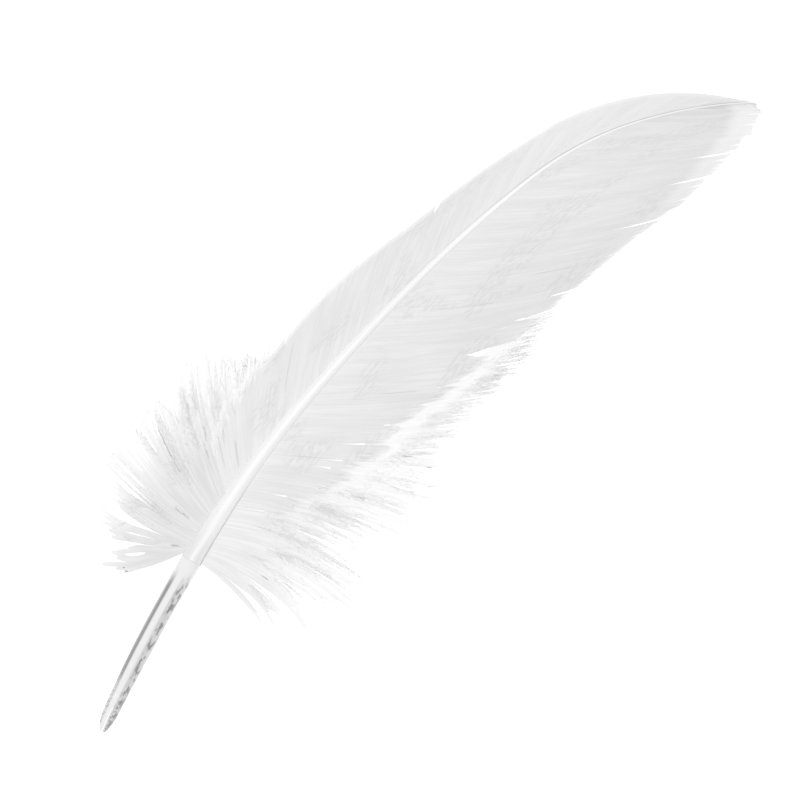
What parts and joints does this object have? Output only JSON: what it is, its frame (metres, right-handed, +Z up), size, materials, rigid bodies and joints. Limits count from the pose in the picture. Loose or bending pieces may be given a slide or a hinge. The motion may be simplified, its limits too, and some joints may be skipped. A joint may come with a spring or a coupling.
{
  "type": "quill pen",
  "caption": "Quill pen made from a white flight feather: a translucent horn barrel cut to a slit nib, a curved grooved shaft, zipped vanes and loose down at their base.",
  "frame": {"origin": "on the desk that the pen lies on, under the middle of its bounding box", "axes": "+X from the nib towards the feather's tip, +Y towards the narrow leading vane, +Z up, out of the feather's convex side"},
  "size_m": [0.2896, 0.1006, 0.0099],
  "materials": {
    "horn": "translucent, polished",
    "membrane": "dry, papery",
    "keratin": "satin",
    "pith": "matt, foamy",
    "vane": "silky, finely ribbed",
    "down": "fluffy"
  },
  "bodies": {
    "root": {"barrel": "horn", "barrel_membrane": "membrane", "rachis": "keratin", "rachis_pith": "pith", "leading_down_1": "down", "leading_down_2": "down", "leading_down_3": "down", "leading_down_4": "down", "leading_down_5": "down", "leading_down_6": "down", "leading_fringe_1": "down", "leading_fringe_2": "down", "leading_vane_1": "vane", "leading_vane_2": "vane", "leading_vane_3": "vane", "leading_vane_4": "vane", "leading_vane_5": "vane", "leading_vane_6": "vane", "trailing_down_1": "down", "trailing_down_2": "down", "trailing_down_3": "down", "trailing_down_4": "down", "trailing_fringe_1": "down", "trailing_fringe_2": "down", "trailing_fringe_3": "down", "trailing_fringe_4": "down", "trailing_fringe_5": "down", "trailing_fringe_6": "down", "trailing_vane_1": "vane", "trailing_vane_2": "vane", "trailing_vane_3": "vane", "trailing_vane_4": "vane", "trailing_vane_5": "vane", "trailing_vane_6": "vane", "trailing_vane_7": "vane", "trailing_vane_8": "vane"}
  },
  "joints": []
}
